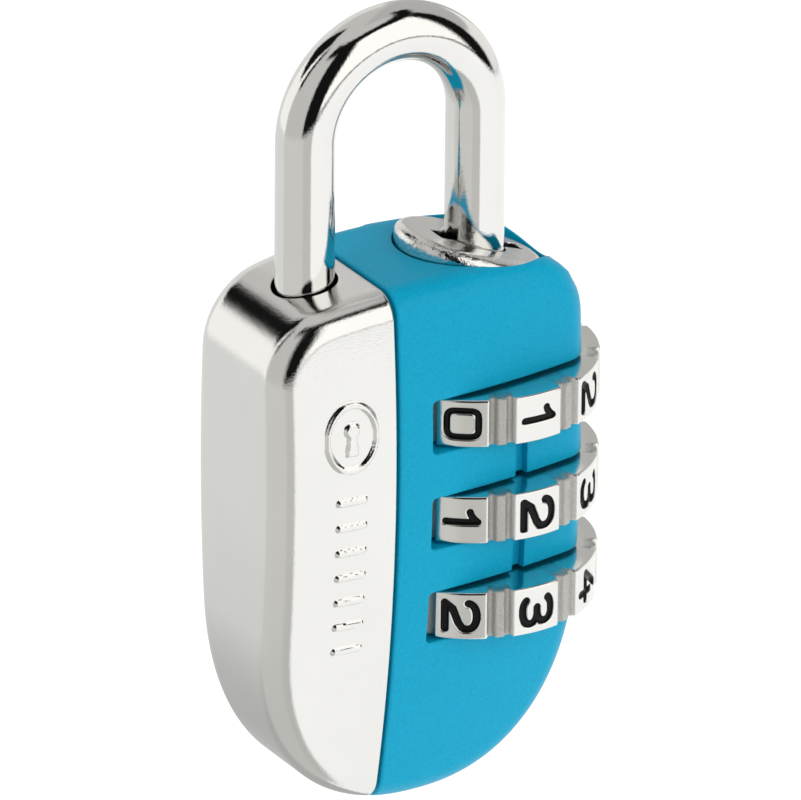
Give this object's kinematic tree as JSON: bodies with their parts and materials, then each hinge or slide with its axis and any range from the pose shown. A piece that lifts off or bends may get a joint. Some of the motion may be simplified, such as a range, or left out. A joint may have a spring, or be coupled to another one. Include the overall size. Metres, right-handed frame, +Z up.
{
  "type": "padlock",
  "caption": "Small combination padlock: a chromed and a painted case half, a steel shackle that lifts out of one hole, and turning number dials on hidden clutch hubs.",
  "frame": {"origin": "inside top of the shackle's bow, on its centre plane, where the closed lock hangs", "axes": "+Z up along the shackle's legs, -Y out of the front face, +X from the chrome half to the painted half"},
  "size_m": [0.0271, 0.0168, 0.0563],
  "materials": {
    "chrome_plate": "polished chrome plate",
    "blue_paint": "satin blue lacquer",
    "nickel_dial": "nickel plated casting, bright facets and rough grips",
    "hub_brass": "machined",
    "spring_steel": "bright drawn"
  },
  "bodies": {
    "case": {"case_screw": "spring_steel", "chrome_case_half": "chrome_plate", "detent_ball_bottom": "spring_steel", "detent_ball_middle": "spring_steel", "detent_ball_top": "spring_steel", "detent_spring_bottom": "spring_steel", "detent_spring_middle": "spring_steel", "detent_spring_top": "spring_steel", "dowel_pin_lower": "spring_steel", "dowel_pin_upper": "spring_steel", "hub_return_spring": "spring_steel", "hub_thrust_washer": "spring_steel", "keyhole_bushing": "chrome_plate", "painted_case_half": "blue_paint"},
    "shackle": {"shackle": "chrome_plate", "leg_retaining_clip": "spring_steel"},
    "top_dial": {"dial_top": "nickel_dial", "clutch_hub_top": "hub_brass"},
    "middle_dial": {"dial_middle": "nickel_dial", "clutch_hub_middle": "hub_brass"},
    "bottom_dial": {"dial_bottom": "nickel_dial", "clutch_hub_bottom": "hub_brass"}
  },
  "joints": [
    {"name": "shackle_lift", "type": "slide", "parent": "case", "child": "shackle", "axis": [0, 0, 1], "range_m": [0, 0.00705]},
    {"name": "top_dial_turn", "type": "hinge", "parent": "case", "child": "top_dial", "pos_m": [0.00655, 0, -0.02401], "axis": [0, 0, 1], "continuous": true},
    {"name": "middle_dial_turn", "type": "hinge", "parent": "case", "child": "middle_dial", "pos_m": [0.00655, 0, -0.03106], "axis": [0, 0, 1], "continuous": true},
    {"name": "bottom_dial_turn", "type": "hinge", "parent": "case", "child": "bottom_dial", "pos_m": [0.00655, 0, -0.03811], "axis": [0, 0, 1], "continuous": true}
  ]
}
